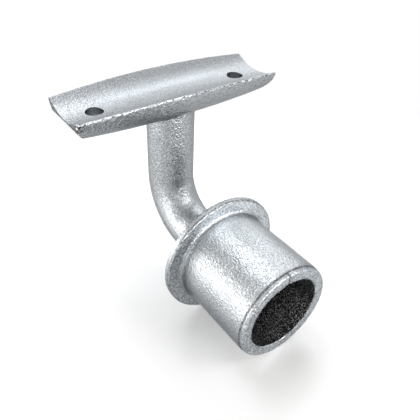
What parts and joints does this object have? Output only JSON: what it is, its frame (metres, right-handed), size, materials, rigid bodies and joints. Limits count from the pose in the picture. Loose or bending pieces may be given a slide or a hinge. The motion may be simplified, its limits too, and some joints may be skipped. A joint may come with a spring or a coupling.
{
  "type": "handrail bracket",
  "caption": "Cast handrail bracket: a hollow spigot plugs into a tube up to a round flange, and a bent round arm carries a half-round saddle with a long groove and screw holes for the rail.",
  "frame": {"origin": "centre of the flange's seat face, on the axis of the spigot, where the end of the tube stops", "axes": "the spigot points along -Y into the tube, the arm leaves along +Y and rises to +Z, the handrail lies along X"},
  "size_m": [0.09, 0.0936, 0.0897],
  "materials": {
    "galvanised_iron": "hot-dip galvanised, satin, fine cast grain"
  },
  "bodies": {
    "root": {"handrail_bracket": "galvanised_iron"}
  },
  "joints": []
}
